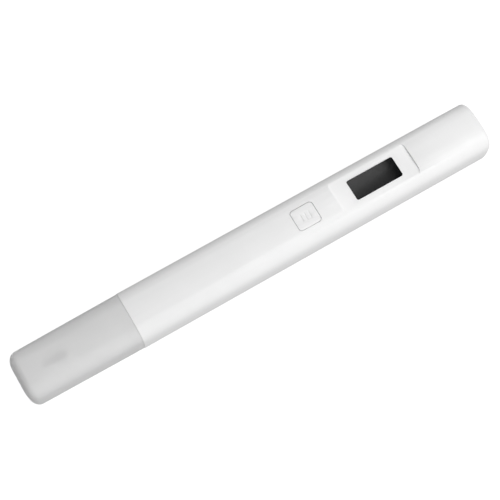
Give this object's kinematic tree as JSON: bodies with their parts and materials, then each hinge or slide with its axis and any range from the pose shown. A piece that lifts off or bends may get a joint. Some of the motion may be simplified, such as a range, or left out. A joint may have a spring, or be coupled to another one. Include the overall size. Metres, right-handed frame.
{
  "type": "tds meter",
  "caption": "Pen-shaped water meter with a frosted pull-off cap, slotted probe, display window, push button and a pull-out battery carrier.",
  "frame": {"origin": "under the middle of the pen, on the plane of its flat back", "axes": "+X along the pen from the cap to the battery end, +Z out of the face with the window and the button, +Y across"},
  "size_m": [0.1502, 0.0162, 0.0162],
  "materials": {
    "frosted_plastic": "fine frosted, slightly see-through",
    "white_shell": "satin moulded",
    "white_probe": "matt moulded",
    "titanium": "drawn and polished",
    "sensor_glass": "glossy bead",
    "seal_silicone": "soft matt",
    "smoked_window": "polished and smoked",
    "black_adhesive": "matt foam",
    "display_glass": "anti-glare",
    "contact_elastomer": "layered matt",
    "grey_moulding": "matt moulded",
    "board_laminate": "green solder mask",
    "black_epoxy": "matt moulded",
    "ceramic_chip": "sintered",
    "nickel_steel": "nickel plated",
    "white_button": "satin moulded",
    "white_carrier": "matt moulded",
    "cell_steel": "bright pressed steel"
  },
  "bodies": {
    "meter": {"main_shell": "white_shell", "inner_frame": "grey_moulding", "probe_head": "white_probe", "probe_pins": "titanium", "thermistor": "sensor_glass", "window_lens": "smoked_window", "window_gasket": "black_adhesive", "lcd_panel": "display_glass", "zebra_strip_left": "contact_elastomer", "zebra_strip_right": "contact_elastomer", "display_frame": "grey_moulding", "main_board": "board_laminate", "controller_chip": "black_epoxy", "crystal": "nickel_steel", "chip_parts": "ceramic_chip", "tact_switch": "black_epoxy", "button_seal": "seal_silicone", "board_screws": "nickel_steel", "spring_plate": "nickel_steel", "negative_spring": "nickel_steel", "positive_contact": "nickel_steel"},
    "cap": {"cap": "frosted_plastic"},
    "button": {"button": "white_button", "switch_plunger": "black_epoxy"},
    "carrier": {"battery_carrier": "white_carrier", "plug_seal": "seal_silicone", "positive_strip": "nickel_steel", "battery_cell_1": "cell_steel", "battery_cell_2": "cell_steel"}
  },
  "joints": [
    {"name": "cap_pull", "type": "slide", "parent": "meter", "child": "cap", "axis": [-1, 0, 0], "range_m": [0, 0.045]},
    {"name": "carrier_pull", "type": "slide", "parent": "meter", "child": "carrier", "axis": [1, 0, 0], "range_m": [0, 0.03]},
    {"name": "button_press", "type": "slide", "parent": "meter", "child": "button", "axis": [0, 0, -1], "range_m": [0, 0.00035], "stiffness_N_per_m": 4000}
  ]
}
